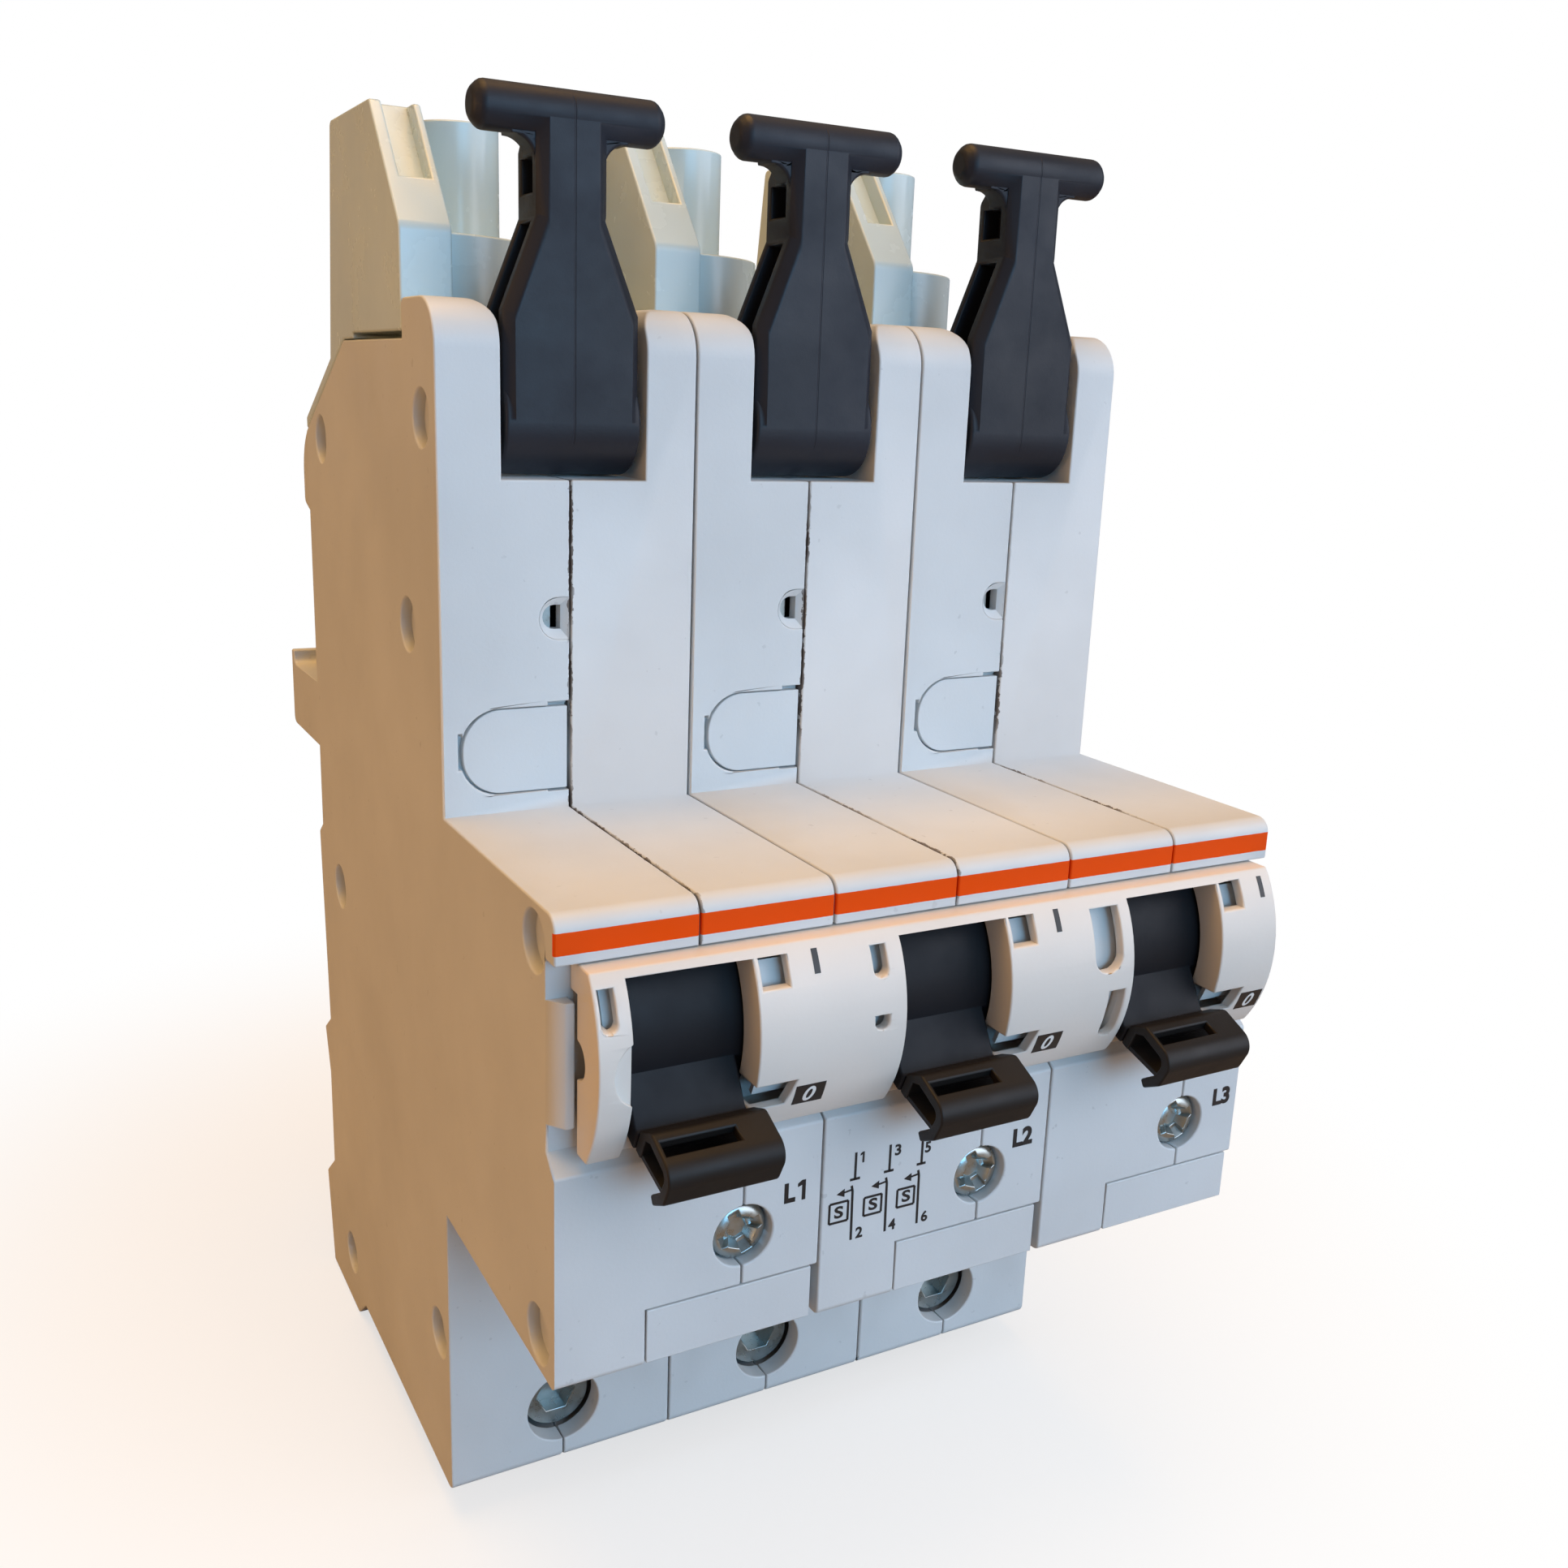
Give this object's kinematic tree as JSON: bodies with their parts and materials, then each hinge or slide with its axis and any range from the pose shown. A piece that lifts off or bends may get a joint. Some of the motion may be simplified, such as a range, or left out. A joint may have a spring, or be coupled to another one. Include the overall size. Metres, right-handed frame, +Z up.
{
  "type": "selective main circuit breaker",
  "caption": "Modular multi-pole selective main breaker with a stepped cap, guarded toggles, clamp levers, busbar hooks behind and cage terminals below.",
  "frame": {"origin": "middle of the rear contact face of the middle pole, where it meets the middle busbar", "axes": "+Y out of the back towards the busbars, +Z up along the poles, +X across the poles to the right seen from the front"},
  "size_m": [0.0808, 0.1142, 0.1531],
  "materials": {
    "housing": "fine moulded light grey thermoset",
    "contact_housing": "glossy pale grey moulding",
    "guard": "smooth cream moulding",
    "lever": "fine satin black moulding",
    "toggle": "satin black moulding",
    "grip": "satin brown black moulding",
    "zinc": "zinc plated steel",
    "copper": "bare copper",
    "silvered_copper": "silver plated copper",
    "bimetal": "rolled bimetal",
    "winding": "enamelled copper wire between moulded flanges",
    "splitter_steel": "galvanised steel plates"
  },
  "bodies": {
    "casing": {"shell_left_1": "housing", "shell_right_1": "housing", "front_flap_1": "housing", "inspection_cover_1": "housing", "contact_housing_1": "contact_housing", "terminal_strap_1": "copper", "busbar_contact_1": "silvered_copper", "fixed_contact_1": "silvered_copper", "bimetal_strip_1": "bimetal", "trip_coil_1": "winding", "arc_chute_1": "splitter_steel", "shell_left_2": "housing", "shell_right_2": "housing", "front_flap_2": "housing", "inspection_cover_2": "housing", "contact_housing_2": "contact_housing", "terminal_strap_2": "copper", "busbar_contact_2": "silvered_copper", "fixed_contact_2": "silvered_copper", "bimetal_strip_2": "bimetal", "trip_coil_2": "winding", "arc_chute_2": "splitter_steel", "shell_left_3": "housing", "shell_right_3": "housing", "front_flap_3": "housing", "inspection_cover_3": "housing", "contact_housing_3": "contact_housing", "terminal_strap_3": "copper", "busbar_contact_3": "silvered_copper", "fixed_contact_3": "silvered_copper", "bimetal_strip_3": "bimetal", "trip_coil_3": "winding", "arc_chute_3": "splitter_steel", "toggle_guard": "guard", "tie_rivets": "zinc", "pivot_axles": "zinc"},
    "jaw_1": {"clamp_jaw_1": "housing"},
    "lever_1": {"clamp_lever_1": "lever"},
    "toggle_1": {"toggle_1": "toggle", "toggle_grip_1": "grip"},
    "front_screw_1": {"front_screw_1": "zinc"},
    "screw_1": {"terminal_screw_1": "zinc"},
    "cage_1": {"terminal_cage_1": "zinc"},
    "contact_1": {"moving_contact_1": "silvered_copper"},
    "jaw_2": {"clamp_jaw_2": "housing"},
    "lever_2": {"clamp_lever_2": "lever"},
    "toggle_2": {"toggle_2": "toggle", "toggle_grip_2": "grip"},
    "front_screw_2": {"front_screw_2": "zinc"},
    "screw_2": {"terminal_screw_2": "zinc"},
    "cage_2": {"terminal_cage_2": "zinc"},
    "contact_2": {"moving_contact_2": "silvered_copper"},
    "jaw_3": {"clamp_jaw_3": "housing"},
    "lever_3": {"clamp_lever_3": "lever"},
    "toggle_3": {"toggle_3": "toggle", "toggle_grip_3": "grip"},
    "front_screw_3": {"front_screw_3": "zinc"},
    "screw_3": {"terminal_screw_3": "zinc"},
    "cage_3": {"terminal_cage_3": "zinc"},
    "contact_3": {"moving_contact_3": "silvered_copper"}
  },
  "joints": [
    {"name": "lever_1_swing", "type": "hinge", "parent": "casing", "child": "lever_1", "pos_m": [-0.027, -0.0541, 0.0633], "axis": [1, 0, 0], "range_deg": [0, 90]},
    {"name": "jaw_1_slide", "type": "slide", "parent": "casing", "child": "jaw_1", "axis": [0, 0, -1], "range_m": [0, 0.003]},
    {"name": "toggle_1_swing", "type": "hinge", "parent": "casing", "child": "toggle_1", "pos_m": [-0.027, -0.08, 0.0117], "axis": [-1, 0, 0], "range_deg": [0, 48]},
    {"name": "contact_1_swing", "type": "hinge", "parent": "casing", "child": "contact_1", "pos_m": [-0.027, -0.0405, 0.0217], "axis": [1, 0, 0], "range_deg": [0, 14]},
    {"name": "screw_1_turn", "type": "hinge", "parent": "casing", "child": "screw_1", "pos_m": [-0.027, -0.0545, -0.0487], "axis": [0, 1, 0], "range_deg": [0, 2074]},
    {"name": "cage_1_slide", "type": "slide", "parent": "casing", "child": "cage_1", "axis": [0, -1, 0], "range_m": [0, 0.0072]},
    {"name": "front_screw_1_turn", "type": "hinge", "parent": "casing", "child": "front_screw_1", "pos_m": [-0.0218, -0.09, -0.00925], "axis": [0, 1, 0], "range_deg": [0, 360]},
    {"name": "lever_2_swing", "type": "hinge", "parent": "casing", "child": "lever_2", "pos_m": [0, -0.0541, 0.0633], "axis": [1, 0, 0], "range_deg": [0, 90]},
    {"name": "jaw_2_slide", "type": "slide", "parent": "casing", "child": "jaw_2", "axis": [0, 0, -1], "range_m": [0, 0.003]},
    {"name": "toggle_2_swing", "type": "hinge", "parent": "casing", "child": "toggle_2", "pos_m": [0, -0.08, 0.0117], "axis": [-1, 0, 0], "range_deg": [0, 48]},
    {"name": "contact_2_swing", "type": "hinge", "parent": "casing", "child": "contact_2", "pos_m": [0, -0.0405, 0.0217], "axis": [1, 0, 0], "range_deg": [0, 14]},
    {"name": "screw_2_turn", "type": "hinge", "parent": "casing", "child": "screw_2", "pos_m": [0, -0.0545, -0.0487], "axis": [0, 1, 0], "range_deg": [0, 2074]},
    {"name": "cage_2_slide", "type": "slide", "parent": "casing", "child": "cage_2", "axis": [0, -1, 0], "range_m": [0, 0.0072]},
    {"name": "front_screw_2_turn", "type": "hinge", "parent": "casing", "child": "front_screw_2", "pos_m": [0.0052, -0.09, -0.00925], "axis": [0, 1, 0], "range_deg": [0, 360]},
    {"name": "lever_3_swing", "type": "hinge", "parent": "casing", "child": "lever_3", "pos_m": [0.027, -0.0541, 0.0633], "axis": [1, 0, 0], "range_deg": [0, 90]},
    {"name": "jaw_3_slide", "type": "slide", "parent": "casing", "child": "jaw_3", "axis": [0, 0, -1], "range_m": [0, 0.003]},
    {"name": "toggle_3_swing", "type": "hinge", "parent": "casing", "child": "toggle_3", "pos_m": [0.027, -0.08, 0.0117], "axis": [-1, 0, 0], "range_deg": [0, 48]},
    {"name": "contact_3_swing", "type": "hinge", "parent": "casing", "child": "contact_3", "pos_m": [0.027, -0.0405, 0.0217], "axis": [1, 0, 0], "range_deg": [0, 14]},
    {"name": "screw_3_turn", "type": "hinge", "parent": "casing", "child": "screw_3", "pos_m": [0.027, -0.0545, -0.0487], "axis": [0, 1, 0], "range_deg": [0, 2074]},
    {"name": "cage_3_slide", "type": "slide", "parent": "casing", "child": "cage_3", "axis": [0, -1, 0], "range_m": [0, 0.0072]},
    {"name": "front_screw_3_turn", "type": "hinge", "parent": "casing", "child": "front_screw_3", "pos_m": [0.0322, -0.09, -0.00925], "axis": [0, 1, 0], "range_deg": [0, 360]}
  ],
  "couplings": [
    {"joint": "jaw_1_slide", "follows": "lever_1_swing", "m_per_rad": 0.0019},
    {"joint": "contact_1_swing", "follows": "toggle_1_swing", "ratio": 0.29},
    {"joint": "screw_1_turn", "follows": "cage_1_slide", "rad_per_m": 5026.5},
    {"joint": "jaw_2_slide", "follows": "lever_2_swing", "m_per_rad": 0.0019},
    {"joint": "toggle_2_swing", "follows": "toggle_1_swing", "ratio": 1},
    {"joint": "contact_2_swing", "follows": "toggle_1_swing", "ratio": 0.29},
    {"joint": "screw_2_turn", "follows": "cage_2_slide", "rad_per_m": 5026.5},
    {"joint": "jaw_3_slide", "follows": "lever_3_swing", "m_per_rad": 0.0019},
    {"joint": "toggle_3_swing", "follows": "toggle_1_swing", "ratio": 1},
    {"joint": "contact_3_swing", "follows": "toggle_1_swing", "ratio": 0.29},
    {"joint": "screw_3_turn", "follows": "cage_3_slide", "rad_per_m": 5026.5}
  ]
}
